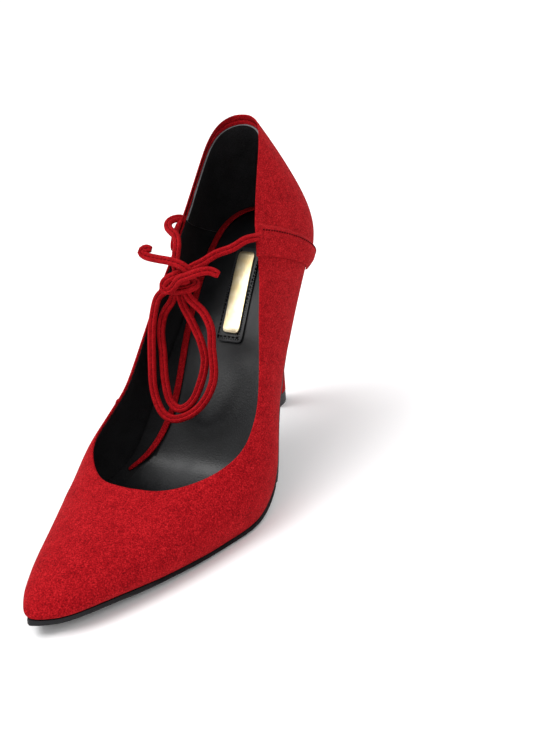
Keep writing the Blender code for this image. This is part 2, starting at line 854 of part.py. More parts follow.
def main():
    """Builds the shoe."""
    clear_scene()
    suede = new_material("red suede", (0.42, 0.012, 0.022), 0.9)
    panel = new_material("red suede panel", (0.42, 0.012, 0.022), 0.9)
    cover = new_material("red suede heel cover", (0.40, 0.012, 0.022), 0.9)
    edge = new_material("red suede strip", (0.36, 0.010, 0.018), 0.9)
    cord = new_material("red suede cord", (0.44, 0.012, 0.022), 0.9)
    sock = new_material("black sock", (0.02, 0.02, 0.022), 0.45)
    patch = new_material("black patch", (0.015, 0.015, 0.017), 0.4)
    gilt = new_material("gilt plate", (0.80, 0.62, 0.30), 0.25, 1.0)
    sole = new_material("black sole", (0.022, 0.022, 0.024), 0.4)
    tip = new_material("black tip", (0.012, 0.012, 0.013), 0.5)
    make_upper(suede)
    make_panel(panel)
    make_outsole(sole)
    make_insole(sock)
    make_rand(edge)
    patch_length = PLATE_LENGTH + 2 * PATCH_MARGIN
    make_slip("sock_patch", PATCH_WIDTH, patch_length, PLATE_CORNER, GAP, GAP + PATCH_HEIGHT, patch)
    low = 2 * GAP + PATCH_HEIGHT
    make_slip("plate", PLATE_WIDTH, PLATE_LENGTH, PLATE_CORNER, low, low + PLATE_HEIGHT, gilt)
    make_heel(cover)
    make_top_piece(tip)
    make_cord("tie_bars", bar_points(), cord)
    make_cord("knot", coil_points(), cord.copy())
    make_cord("loop_outer", route(LOOP_OUTER, CORD_STEP), cord.copy())
    make_cord("loop_inner", route(LOOP_INNER, CORD_STEP), cord.copy())
    make_cord("end_left", route(END_LEFT, CORD_STEP), cord.copy())
    make_cord("end_right", route(END_RIGHT, CORD_STEP), cord.copy())


main()
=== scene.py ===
"""The lace up heel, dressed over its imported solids.

One left court shoe in red suede: pointed toe, deep throat, raised back panel with a cord tunnel, a
folded suede cord tied over the instep, a black insole with a patch and a blank gilt plate, and a
covered stiletto heel. Lengths are metres in the part's own frame: toe to -Y, outer side to +X.
"""

import logging
import math
from collections.abc import Iterable, Sequence
from dataclasses import dataclass
from enum import Enum

import bmesh
import bpy
from mathutils import Matrix, Vector
from mathutils.bvhtree import BVHTree


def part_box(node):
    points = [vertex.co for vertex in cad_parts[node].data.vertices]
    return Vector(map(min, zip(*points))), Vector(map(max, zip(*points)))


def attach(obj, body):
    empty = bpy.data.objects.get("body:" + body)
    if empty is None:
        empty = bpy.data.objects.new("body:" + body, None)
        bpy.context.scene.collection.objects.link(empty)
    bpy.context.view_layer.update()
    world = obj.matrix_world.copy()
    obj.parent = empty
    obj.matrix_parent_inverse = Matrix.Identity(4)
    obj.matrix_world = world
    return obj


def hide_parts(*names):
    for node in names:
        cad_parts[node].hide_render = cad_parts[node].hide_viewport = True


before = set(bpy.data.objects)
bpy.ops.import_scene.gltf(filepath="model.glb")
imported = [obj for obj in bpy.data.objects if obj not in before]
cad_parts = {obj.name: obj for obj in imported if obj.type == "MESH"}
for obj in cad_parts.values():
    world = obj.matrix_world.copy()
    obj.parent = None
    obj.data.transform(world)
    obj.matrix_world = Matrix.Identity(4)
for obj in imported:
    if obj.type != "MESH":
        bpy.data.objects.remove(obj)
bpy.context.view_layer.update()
BODY = "root"

# Corners nearer than this are one, in metres
MERGE = 0.00001

# Triangle pairs flatter than these angles become quads
QUAD_FACE, QUAD_SHAPE = math.radians(50), math.radians(60)

# Steps of a smooth line between two of its chosen points
FINENESS = 16

# Where most of a noise's greys lie, and where a finish's two tones start
GREY_LOW, GREY_HIGH = 0.3, 0.7
DARK_AT, LIGHT_AT, PALE_AT = 0.35, 0.68, 0.65

# Edges that turn less than this, in degrees, are shaded smooth
SUEDE_TURN, STRIP_TURN, LEATHER_TURN, METAL_TURN = 60.0, 50.0, 45.0, 35.0

Point = tuple[float, float, float]
Object = bpy.types.Object
Material = bpy.types.Material
Socket = bpy.types.NodeSocket

log = logging.getLogger("shoe")


class Side(Enum):
    """The two sides of the foot, by the sign of their place along X."""

    INNER = -1
    OUTER = 1


# Helpers for objects and meshes

def add_object(name: str, data: bpy.types.ID) -> Object:
    """Puts a new object with its data into the scene."""
    made = bpy.data.objects.new(name, data)
    bpy.context.scene.collection.objects.link(made)
    return made


def deselect() -> None:
    """Leaves no object selected."""
    for thing in bpy.context.selected_objects:
        thing.select_set(False)


def only(piece: Object) -> None:
    """Selects one object and makes it the active one."""
    deselect()
    piece.select_set(True)
    bpy.context.view_layer.objects.active = piece


def edit(piece: Object, kind: str = "FACE") -> None:
    """Opens an object's mesh for editing in one select mode."""
    only(piece)
    bpy.ops.object.mode_set(mode="EDIT")
    bpy.ops.mesh.select_mode(type=kind)


def leave() -> None:
    """Closes the mesh that is open for editing."""
    bpy.ops.object.mode_set(mode="OBJECT")


def apply_modifiers(piece: Object) -> None:
    """Applies every modifier of an object, first to last."""
    only(piece)
    for modifier in list(piece.modifiers):
        bpy.ops.object.modifier_apply(modifier=modifier.name)


def subdivide(piece: Object, levels: int) -> None:
    """Rounds a mesh with an applied Subdivision Surface."""
    if levels > 0:
        modifier = piece.modifiers.new("rounding", "SUBSURF")
        modifier.levels = modifier.render_levels = levels
        apply_modifiers(piece)


def smooth_by_angle(piece: Object, degrees: float = 40.0) -> None:
    """Shades a mesh smooth except at its sharp edges."""
    only(piece)
    bpy.ops.object.shade_smooth_by_angle(angle=math.radians(degrees))


def copy_of(node: str, name: str) -> Object:
    """A separate copy of a CAD node, merged into quads.

    Args:
        node: the CAD node's name.
        name: the new piece's name.

    Returns:
        The new object, with no material and no parent.
    """
    piece = add_object(name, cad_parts[node].data.copy())
    piece.data.name = name
    piece.data.materials.clear()
    edit(piece)
    bpy.ops.mesh.customdata_custom_splitnormals_clear()
    bpy.ops.mesh.select_all(action="SELECT")
    bpy.ops.mesh.remove_doubles(threshold=MERGE)
    bpy.ops.mesh.tris_convert_to_quads(face_threshold=QUAD_FACE, shape_threshold=QUAD_SHAPE)
    leave()
    return piece


def keep_creases(piece: Object, degrees: float, amount: float, behind: float = -1.0) -> None:
    """Marks the sharp edges of a mesh so that rounding keeps them.

    Args:
        piece: the mesh object.
        degrees: edges that turn more than this are marked.
        amount: how firmly they are kept, from 0 to 1.
        behind: only edges further back than this place along Y are marked.
    """
    edit(piece, "EDGE")
    bpy.ops.mesh.select_all(action="DESELECT")
    bpy.ops.mesh.edges_select_sharp(sharpness=math.radians(degrees))
    leave()
    points = piece.data.vertices
    for edge in piece.data.edges:
        edge.select = edge.select and min(points[k].co.y for k in edge.vertices) > behind
    bpy.ops.object.mode_set(mode="EDIT")
    bpy.ops.transform.edge_crease(value=amount)
    leave()


def soften(piece: Object, width: float, segments: int = 2, degrees: float = 40.0) -> None:
    """Breaks the sharp edges of a mesh with a small round.

    Args:
        piece: the mesh object.
        width: how far the round reaches from the edge.
        segments: faces across the round.
        degrees: only edges that turn more than this are rounded.
    """
    modifier = piece.modifiers.new("edge", "BEVEL")
    modifier.width, modifier.segments = width, segments
    modifier.limit_method, modifier.angle_limit = "ANGLE", math.radians(degrees)
    modifier.use_clamp_overlap = True
    apply_modifiers(piece)


def finish_piece(piece: Object, material: Material, replaced: Sequence[str] = ()) -> Object:
    """Gives a piece its material and body.

    Args:
        piece: the finished mesh object at the origin.
        material: its material, unless it has its own already.
        replaced: CAD nodes that it stands for.

    Returns:
        The same object.
    """
    if not piece.data.materials:
        piece.data.materials.append(material)
    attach(piece, BODY)
    if replaced:
        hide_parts(*replaced)
    log.info("%s: %d faces", piece.name, len(piece.data.polygons))
    return piece


def smooth_line(points: Iterable[Point], spacing: float) -> list[Vector]:
    """Even points on a smooth curve through the chosen ones.

    Args:
        points: the curve's own points.
        spacing: about how far apart the result's points lie.

    Returns:
        The points, first and last included.
    """
    knots = [Vector(point) for point in points]
    padded = [2 * knots[0] - knots[1]] + knots + [2 * knots[-1] - knots[-2]]
    dense: list[Vector] = []
    for a, b, c, d in zip(padded, padded[1:], padded[2:], padded[3:]):
        for k in range(FINENESS):
            q = k / FINENESS
            dense.append(0.5 * (2 * b + (c - a) * q + (2 * a - 5 * b + 4 * c - d) * q * q
                                + (3 * b - a - 3 * c + d) * q ** 3))
    dense.append(knots[-1])
    marks = [0.0]
    for first, second in zip(dense, dense[1:]):
        marks.append(marks[-1] + (second - first).length)
    count = max(2, round(marks[-1] / spacing))
    found: list[Vector] = []
    i = 1
    for k in range(count + 1):
        goal = marks[-1] * k / count
        while i < len(dense) - 1 and marks[i] < goal:
            i += 1
        q = (goal - marks[i - 1]) / max(marks[i] - marks[i - 1], 1e-9)
        found.append(dense[i - 1].lerp(dense[i], min(max(q, 0.0), 1.0)))
    return found


def copies_at(name: str, template: bpy.types.Mesh, places: Sequence[Matrix]) -> Object:
    """One object made of a small mesh repeated at each place.

    Args:
        name: the new object's name.
        template: the mesh that repeats.
        places: where each copy goes.

    Returns:
        The new object at the origin.
    """
    joined = bmesh.new()
    for place in places:
        single = template.copy()
        single.transform(place)
        joined.from_mesh(single)
        bpy.data.meshes.remove(single)
    data = bpy.data.meshes.new(name)
    joined.to_mesh(data)
    joined.free()
    data.shade_smooth()
    return add_object(name, data)


# Finishes

class Graph:
    """Short hand for building one material's nodes."""

    def __init__(self, name: str) -> None:
        """Starts a material with a plain Principled shader."""
        self.material = bpy.data.materials.new(name)
        self.material.use_nodes = True
        self.tree = self.material.node_tree
        self.shader = self.tree.nodes["Principled BSDF"]
        self.place = self.tree.nodes.new("ShaderNodeTexCoord").outputs["Object"]

    def node(self, kind: str, **settings: object) -> bpy.types.Node:
        """A new node with some of its properties set."""
        made = self.tree.nodes.new(kind)
        for key, value in settings.items():
            setattr(made, key, value)
        return made

    def link(self, source: Socket, target: Socket) -> None:
        """Joins two sockets."""
        self.tree.links.new(source, target)

    def noise(self, size: float, detail: float = 3.0, rough: float = 0.55,
              stretch: Point = (1.0, 1.0, 1.0)) -> Socket:
        """A noise pattern whose patches are about one size.

        Args:
            size: patch size in metres.
            detail: number of finer layers.
            rough: strength of the finer layers.
            stretch: scale along each axis, below 1 to draw it out.

        Returns:
            The pattern's grey output.
        """
        turn = self.node("ShaderNodeMapping")
        turn.inputs["Scale"].default_value = stretch
        self.link(self.place, turn.inputs["Vector"])
        made = self.node("ShaderNodeTexNoise")
        made.inputs["Scale"].default_value = 1.0 / size
        made.inputs["Detail"].default_value = detail
        made.inputs["Roughness"].default_value = rough
        self.link(turn.outputs["Vector"], made.inputs["Vector"])
        return made.outputs["Fac"]

    def mix(self, first: Socket, second: Socket, share: float) -> Socket:
        """A blend of two greys.

        Args:
            first: one grey.
            second: the other.
            share: how much of the second there is, from 0 to 1.

        Returns:
            The blended grey.
        """
        made = self.node("ShaderNodeMix", data_type="FLOAT")
        made.inputs[0].default_value = share
        self.link(first, made.inputs[2])
        self.link(second, made.inputs[3])
        return made.outputs[0]

    def colour(self, source: Socket, *stops: tuple[float, Point]) -> None:
        """Colours the surface by a grey.

        Args:
            source: the grey.
            stops: places along it, each with its colour.
        """
        made = self.node("ShaderNodeValToRGB")
        band = made.color_ramp
        while len(band.elements) < len(stops):
            band.elements.new(0.5)
        for element, (place, colour) in zip(band.elements, stops):
            element.position, element.color = place, (*colour, 1.0)
        self.link(source, made.inputs["Fac"])
        self.link(made.outputs["Color"], self.shader.inputs["Base Color"])

    def roughness(self, source: Socket, low: float, high: float) -> None:
        """Sets the surface's roughness by a grey.

        Args:
            source: the grey.
            low: roughness where the grey is dark.
            high: roughness where it is light.
        """
        made = self.node("ShaderNodeMapRange")
        made.inputs["From Min"].default_value = GREY_LOW
        made.inputs["From Max"].default_value = GREY_HIGH
        made.inputs["To Min"].default_value = low
        made.inputs["To Max"].default_value = high
        self.link(source, made.inputs["Value"])
        self.link(made.outputs["Result"], self.shader.inputs["Roughness"])

    def bump(self, height: Socket, depth: float, strength: float = 1.0) -> None:
        """Raises the surface by a grey.

        Args:
            height: the grey.
            depth: how far its light parts stand over its dark ones, in metres.
            strength: how much of that shows, from 0 to 1.
        """
        made = self.node("ShaderNodeBump")
        made.inputs["Strength"].default_value = strength
        made.inputs["Distance"].default_value = depth
        self.link(height, made.inputs["Height"])
        self.link(made.outputs["Normal"], self.shader.inputs["Normal"])

    def fixed(self, **values: object) -> None:
        """Sets sockets of the shader that are the same all over."""
        for key, value in values.items():
            self.shader.inputs[key.replace("_", " ")].default_value = value


@dataclass(frozen=True)
class Suede:
    """Short brushed nap, mottled where it lies one way or the other."""

    name: str
    deep: Point = (0.115, 0.0012, 0.0030)
    body: Point = (0.300, 0.0030, 0.0065)
    light: Point = (0.560, 0.0150, 0.0200)
    mottle: float = 0.0070
    streak: float = 0.0016
    nap: float = 0.00055
    sheen: float = 0.06
    stops: tuple[float, float, float] = (0.34, 0.50, 0.67)
    streak_share: float = 0.60
    nap_share: float = 0.68
    relief_share: float = 0.65
    relief: float = 0.00030

    def material(self) -> Material:
        """Builds the material."""
        graph = Graph(self.name)
        mottle = graph.noise(self.mottle, 4.0, 0.62)
        streak = graph.noise(self.streak, 3.0, 0.6, (1.0, 0.55, 1.0))
        nap = graph.noise(self.nap, 2.0, 0.6)
        coarse = graph.mix(mottle, streak, self.streak_share)
        tone = graph.mix(coarse, nap, self.nap_share)
        graph.colour(tone, *zip(self.stops, (self.deep, self.body, self.light)))
        graph.roughness(coarse, 0.97, 0.86)
        graph.bump(graph.mix(streak, nap, self.relief_share), self.relief, 0.85)
        graph.fixed(Specular_IOR_Level=0.07, Sheen_Weight=self.sheen, Sheen_Roughness=0.45,
                    Sheen_Tint=(1.0, 0.10, 0.10, 1.0))
        return graph.material


@dataclass(frozen=True)
class BlackLeather:
    """Smooth black leather with a fine grain and a soft grey shine."""

    name: str
    dark: Point = (0.0050, 0.0050, 0.0058)
    light: Point = (0.0150, 0.0155, 0.0175)
    wear: float = 0.014
    grain: float = 0.0009
    fineness: float = 0.4
    gloss: tuple[float, float] = (0.36, 0.52)
    depth: float = 0.00006
    shine: float = 0.5

    def material(self) -> Material:
        """Builds the material."""
        graph = Graph(self.name)
        wear = graph.noise(self.wear, 4.0, 0.6, (1.0, 0.45, 1.0))
        grain = graph.node("ShaderNodeTexVoronoi")
        grain.inputs["Scale"].default_value = 1.0 / self.grain
        graph.link(graph.place, grain.inputs["Vector"])
        fine = graph.noise(self.grain * self.fineness, 2.0)
        tone = graph.mix(wear, fine, 0.3)
        graph.colour(tone, (DARK_AT, self.dark), (LIGHT_AT, self.light))
        graph.roughness(wear, *self.gloss)
        graph.bump(graph.mix(grain.outputs["Distance"], fine, 0.5), self.depth)
        graph.fixed(Specular_IOR_Level=self.shine)
        return graph.material


@dataclass(frozen=True)
class Lining:
    """Matt black lining with a faint cloth grain."""

    name: str
    dark: Point = (0.0035, 0.0035, 0.0040)
    light: Point = (0.0110, 0.0110, 0.0125)
    cloud: float = 0.009
    grain: float = 0.00045
    relief: float = 0.00008

    def material(self) -> Material:
        """Builds the material."""
        graph = Graph(self.name)
        cloud = graph.noise(self.cloud, 3.0)
        grain = graph.noise(self.grain, 2.0, 0.7)
        graph.colour(graph.mix(cloud, grain, 0.5), (DARK_AT, self.dark), (LIGHT_AT, self.light))
        graph.roughness(grain, 0.88, 0.70)
        graph.bump(grain, self.relief)
        graph.fixed(Specular_IOR_Level=0.25)
        return graph.material


@dataclass(frozen=True)
class Gilt:
    """Polished pale gold metal with faint scratches."""

    name: str
    colour: Point = (0.83, 0.66, 0.36)
    pale: Point = (0.92, 0.80, 0.55)
    haze: float = 0.006
    scratch: float = 0.00025
    relief: float = 0.000006

    def material(self) -> Material:
        """Builds the material."""
        graph = Graph(self.name)
        haze = graph.noise(self.haze, 3.0)
        scratches = graph.noise(self.scratch, 2.0, 0.6, (6.0, 0.35, 1.0))
        graph.colour(haze, (DARK_AT, self.colour), (PALE_AT, self.pale))
        graph.roughness(scratches, 0.32, 0.42)
        graph.bump(scratches, self.relief)
        graph.fixed(Metallic=1.0)
        return graph.material


@dataclass(frozen=True)
class Thread:
    """Sewing thread with the turns of its plies."""

    name: str
    dark: Point
    light: Point
    ply: float = 0.00022
    relief: float = 0.00004

    def material(self) -> Material:
        """Builds the material."""
        graph = Graph(self.name)
        plies = graph.noise(self.ply, 2.0, 0.6, (1.0, 1.0, 0.5))
        graph.colour(plies, (DARK_AT, self.dark), (PALE_AT, self.light))
        graph.roughness(plies, 0.72, 0.55)
        graph.bump(plies, self.relief)
        graph.fixed(Specular_IOR_Level=0.02)
        return graph.material


@dataclass(frozen=True)
class PaleFloor:
    """The studio's white floor."""

    name: str = "pale floor"
    near: Point = (0.955, 0.955, 0.96)
    far: Point = (0.975, 0.975, 0.98)
    cloud: float = 0.35

    def material(self) -> Material:
        """Builds the material."""
        graph = Graph(self.name)
        graph.colour(graph.noise(self.cloud, 2.0), (DARK_AT, self.near), (PALE_AT, self.far))
        graph.fixed(Roughness=0.9, Specular_IOR_Level=0.2)
        return graph.material


class Finishes:
    """All the materials of the shoe, each built once."""

    def __init__(self) -> None:
        """Builds the materials."""
        self.upper = Suede("upper suede").material()
        self.panel = Suede("panel suede", mottle=0.0075).material()
        self.heel = Suede("heel suede", mottle=0.0060, streak=0.0014).material()
        self.strip = Suede("strip suede", mottle=0.0040, sheen=0.18).material()
        self.cord = Suede("cord suede", mottle=0.0045, streak=0.0012, nap=0.00032).material()
        self.lining = Lining("black lining").material()
        self.counter = Lining("counter lining", light=(0.016, 0.016, 0.018), grain=0.0006).material()
        self.raw_edge = Lining("raw edge", dark=(0.10, 0.10, 0.105), light=(0.24, 0.24, 0.25)).material()
        self.sock = BlackLeather("sock leather", dark=(0.0035, 0.0038, 0.0045),
                                 light=(0.0110, 0.0120, 0.0140), gloss=(0.33, 0.46), shine=0.30).material()
        self.patch = BlackLeather("patch leather", dark=(0.012, 0.0125, 0.014),
                                  light=(0.032, 0.033, 0.036), grain=0.0006, gloss=(0.36, 0.50)).material()
        self.gilt = Gilt("gilt").material()
        self.sole = BlackLeather("sole leather", grain=0.0005, gloss=(0.50, 0.65), depth=0.00003,
                                 shine=0.20).material()
        self.tip = BlackLeather("tip rubber", grain=0.0004, gloss=(0.45, 0.60), depth=0.00003).material()
        self.red_thread = Thread("red thread", (0.045, 0.0008, 0.0020), (0.100, 0.0018, 0.0040)).material()
        self.cord_thread = Thread("cord thread", (0.070, 0.0012, 0.0030), (0.135, 0.0025, 0.0055)).material()
        self.black_thread = Thread("black thread", (0.0015, 0.0015, 0.0018),
                                   (0.0045, 0.0045, 0.0050)).material()


# The studio

@dataclass(frozen=True)
class PhotoCamera:
    """The camera at the photograph's viewing angle."""

    focal_px: float = 949.0
    long_side_px: float = 733.0
    sensor_mm: float = 36.0
    yaw: float = 26.466
    elevation: float = 24.542
    roll: float = 4.572
    right_of_target: float = -0.043582
    over_target: float = -0.004973
    distance: float = 0.431862
    target: Point = (0.0, 0.030, 0.0515)
    clip: tuple[float, float] = (0.01, 50.0)

    def axes(self) -> tuple[Vector, Vector, Vector]:
        """The camera's right, up and forward directions."""
        yaw, rise, roll = (math.radians(v) for v in (self.yaw, self.elevation, self.roll))
        level = Vector((math.cos(yaw), math.sin(yaw), 0.0))
        away = Vector((-math.sin(yaw), math.cos(yaw), 0.0))
        up = math.sin(rise) * away + math.cos(rise) * Vector((0, 0, 1))
        forward = math.cos(rise) * away - math.sin(rise) * Vector((0, 0, 1))
        right = math.cos(roll) * level - math.sin(roll) * up
        upward = math.sin(roll) * level + math.cos(roll) * up
        return right, upward, forward

    def build(self) -> None:
        """Adds the camera and makes it the scene's own."""
        right, up, forward = self.axes()
        place = (Vector(self.target) - self.right_of_target * right
                 - self.over_target * up - self.distance * forward)
        turn = Matrix((right, up, -forward)).transposed().to_4x4()
        data = bpy.data.cameras.new("photo camera")
        data.sensor_width = self.sensor_mm
        data.lens = self.focal_px / self.long_side_px * self.sensor_mm
        data.clip_start, data.clip_end = self.clip
        camera = add_object("photo camera", data)
        camera.matrix_world = Matrix.Translation(place) @ turn
        bpy.context.scene.camera = camera


@dataclass(frozen=True)
class Lamp:
    """One soft lamp that looks at the shoe."""

    name: str
    place: Point
    width: float
    watts: float
    aim: Point = (0.0, 0.02, 0.05)

    def build(self) -> None:
        """Adds the lamp."""
        data = bpy.data.lights.new(self.name, "AREA")
        data.shape, data.size, data.energy = "DISK", self.width, self.watts
        lamp = add_object(self.name, data)
        turn = (Vector(self.aim) - Vector(self.place)).to_track_quat("-Z", "Y")
        lamp.matrix_world = Matrix.Translation(self.place) @ turn.to_matrix().to_4x4()


@dataclass(frozen=True)
class Studio:
    """Pale floor, even light and the camera.

    The sky is a little dimmer as light than as the camera sees it.
    """

    floor_size: float = 14.0
    sky_seen: float = 1.03
    sky_light: float = 0.80
    sun: float = 1.25
    sun_softness: float = 45.0
    sun_from: Point = (-0.45, -0.25, 1.0)
    lamps: tuple[Lamp, ...] = (
        Lamp("key lamp", (-0.75, -0.55, 1.35), 0.9, 8.0),
        Lamp("fill lamp", (1.10, -0.90, 0.80), 1.0, 1.2),
        Lamp("back lamp", (0.30, 1.20, 1.00), 0.8, 3.0),
    )

    def build(self) -> None:
        """Adds floor, world, lamps and camera."""
        deselect()
        bpy.ops.mesh.primitive_plane_add(size=self.floor_size, location=(0, 0, 0))
        floor = bpy.context.active_object
        floor.name = "floor"
        floor.data.materials.append(PaleFloor().material())
        self.build_sky()
        self.build_sun()
        bpy.context.scene.view_settings.view_transform = "Standard"
        for lamp in self.lamps:
            lamp.build()
        PhotoCamera().build()

    def build_sun(self) -> None:
        """Broad light from over the inner side, the same all over the floor."""
        data = bpy.data.lights.new("sun", "SUN")
        data.energy, data.angle = self.sun, math.radians(self.sun_softness)
        sun = add_object("sun", data)
        sun.matrix_world = Vector(self.sun_from).to_track_quat("Z", "Y").to_matrix().to_4x4()

    def build_sky(self) -> None:
        """White all round."""
        world = bpy.data.worlds.new("studio")
        world.use_nodes = True
        tree = world.node_tree
        sky = tree.nodes["Background"]
        sky.inputs["Color"].default_value = (1.0, 1.0, 1.0, 1.0)
        rays = tree.nodes.new("ShaderNodeLightPath")
        strength = tree.nodes.new("ShaderNodeMapRange")
        strength.inputs["To Min"].default_value = self.sky_light
        strength.inputs["To Max"].default_value = self.sky_seen
        tree.links.new(rays.outputs["Is Camera Ray"], strength.inputs["Value"])
        tree.links.new(strength.outputs["Result"], sky.inputs["Strength"])
        bpy.context.scene.world = world


# Stitches

@dataclass(frozen=True)
class Stitch:
    """One short stitch, lying along X with Z away from the surface."""

    length: float
    width: float
    height: float
    sides: int = 8
    rings: int = 6

    def mesh(self) -> bpy.types.Mesh:
        """A small rounded grain, made from a sphere."""
        deselect()
        bpy.ops.mesh.primitive_uv_sphere_add(segments=self.sides, ring_count=self.rings, radius=0.5)
        ball = bpy.context.active_object
        bpy.ops.object.mode_set(mode="EDIT")
        bpy.ops.mesh.select_all(action="SELECT")
        bpy.ops.transform.resize(value=(self.length, self.width, self.height))
        leave()
        data = ball.data
        bpy.data.objects.remove(ball)
        return data


def sew(name: str, line: Sequence[Vector], normals: Sequence[Vector], stitch: Stitch,
        material: Material, lift: float = 0.0, slant: float = 0.0) -> Object:
    """A row of stitches, one at each point of a line.

    Args:
        name: the piece's name.
        line: a point for each stitch.
        normals: the surface's direction at each point.
        stitch: the stitch that repeats.
        material: the thread.
        lift: how far each stitch stands over its point.
        slant: turn of each stitch off the line, in degrees.

    Returns:
        The finished piece.
    """
    template = stitch.mesh()
    places = []
    for k, (point, normal) in enumerate(zip(line, normals)):
        before, after = line[max(k - 1, 0)], line[min(k + 1, len(line) - 1)]
        out = normal.normalized()
        run = after - before
        run = (run - run.dot(out) * out).normalized()
        run = Matrix.Rotation(math.radians(slant), 3, out) @ run
        turn = Matrix((run, out.cross(run), out)).transposed().to_4x4()
        places.append(Matrix.Translation(point + lift * out) @ turn)
    return finish_piece(copies_at(name, template, places), material)


def on_surface(piece: Object, points: Sequence[Vector]) -> tuple[list[Vector], list[Vector]]:
    """The points of a piece's surface that are nearest to a line.

    Args:
        piece: the mesh object.
        points: the line.

    Returns:
        The surface's points and its normals there.
    """
    mesh = piece.data
    tree = BVHTree.FromPolygons([v.co for v in mesh.vertices], [p.vertices for p in mesh.polygons])
    found = [tree.find_nearest(point) for point in points]
    return [hit[0] for hit in found], [hit[1] for hit in found]


# The folded suede cord

@dataclass(frozen=True)
class CordSection:
    """A flat folded strip with a stitch channel along both faces."""

    width: float = 0.0038
    thickness: float = 0.0029
    corners: int = 16
    channel: float = 0.00060
    power: float = 0.78

    def ring(self) -> list[tuple[float, float]]:
        """Points of the section, across the face and out of it."""
        points = []
        for k in range(self.corners):
            turn = 2 * math.pi * k / self.corners
            across, out = math.cos(turn), math.sin(turn)
            x = math.copysign(abs(across) ** self.power, across) * self.width / 2
            y = math.copysign(abs(out) ** self.power, out) * self.thickness / 2
            if k in (self.corners // 4, 3 * self.corners // 4):
                y -= math.copysign(self.channel, y)
            points.append((x, y))
        return points


@dataclass(frozen=True)
class CordRun:
    """One stretch of the cord along a smooth route."""

    name: str
    points: tuple[Point, ...]
    facing: Point
    node: str
    far_end: str = "object"
    lay: str = "hanging"
    section: CordSection = CordSection()
    step: float = 0.0011
    stitch: Stitch = Stitch(0.0021, 0.00042, 0.00036)
    stitch_pitch: float = 0.0021
    stitch_lift: float = 0.00004
    bare_ends: int = 2
    untwist: float = 0.15
    tip_size: float = 0.72
    tip_length: float = 0.0016
    swells: tuple[tuple[float, float, float], ...] = ((0.035, 0.83, 0.0), (0.030, 0.37, 1.0))

    def line(self) -> list[Vector]:
        """The middle of the stretch."""
        return smooth_line(self.points, self.step)

    def frames(self, line: Sequence[Vector]) -> list[tuple[Vector, Vector]]:
        """How the strip lies along its line, turned as little as possible.

        Args:
            line: the middle of the stretch.

        Returns:
            For each point, the direction across the face and the one out of it.
        """
        wish = Vector(self.facing).normalized()
        out = wish
        found = []
        for k in range(len(line)):
            run = (line[min(k + 1, len(line) - 1)] - line[max(k - 1, 0)]).normalized()
            blend = self.untwist * (1 - abs(wish.dot(run)))
            out = (1 - blend) * out + blend * wish
            out = (out - out.dot(run) * run).normalized()
            found.append((run.cross(out), out))
        return found

    def tube(self, line: Sequence[Vector]) -> Object:
        """The strip's mesh, closed at both ends."""
        mesh = bmesh.new()
        ring = self.section.ring()
        rows = []
        frames = self.frames(line)
        last = len(line) - 1
        for k, (point, (across, out)) in enumerate(zip(line, frames)):
            spare = min(k, last - k) * self.step
            size = self.tip_size + (1 - self.tip_size) * min(spare / self.tip_length, 1.0) ** 0.5
            swell = 1.0 + sum(depth * math.sin(k * rate + start) for depth, rate, start in self.swells)
            rows.append([mesh.verts.new(point + (x * across * size + y * out * size * swell))
                         for x, y in ring])
        count = len(ring)
        for low, high in zip(rows, rows[1:]):
            for k in range(count):
                mesh.faces.new((low[k], low[(k + 1) % count], high[(k + 1) % count], high[k]))
        mesh.faces.new(rows[0])
        mesh.faces.new(rows[-1][::-1])
        bmesh.ops.recalc_face_normals(mesh, faces=mesh.faces)
        data = bpy.data.meshes.new(self.name)
        mesh.to_mesh(data)
        mesh.free()
        piece = add_object(self.name, data)
        smooth_by_angle(piece, STRIP_TURN)
        return piece

    def stitches(self, line: Sequence[Vector], thread: Material) -> Object:
        """The stitch row along the strip's face."""
        frames = self.frames(line)
        every = max(1, round(self.stitch_pitch / self.step))
        chosen = range(self.bare_ends, len(line) - self.bare_ends, every)
        half = self.section.thickness / 2 - self.section.channel
        spots = [line[k] + frames[k][1] * half for k in chosen]
        outs = [frames[k][1] for k in chosen]
        return sew(self.name + "_stitches", spots, outs, self.stitch,
                   thread, self.stitch_lift)

    def build(self, suede: Material, thread: Material) -> None:
        line = self.line()
        piece = finish_piece(self.tube(line), suede, (self.node,))
        row = self.stitches(line, thread)


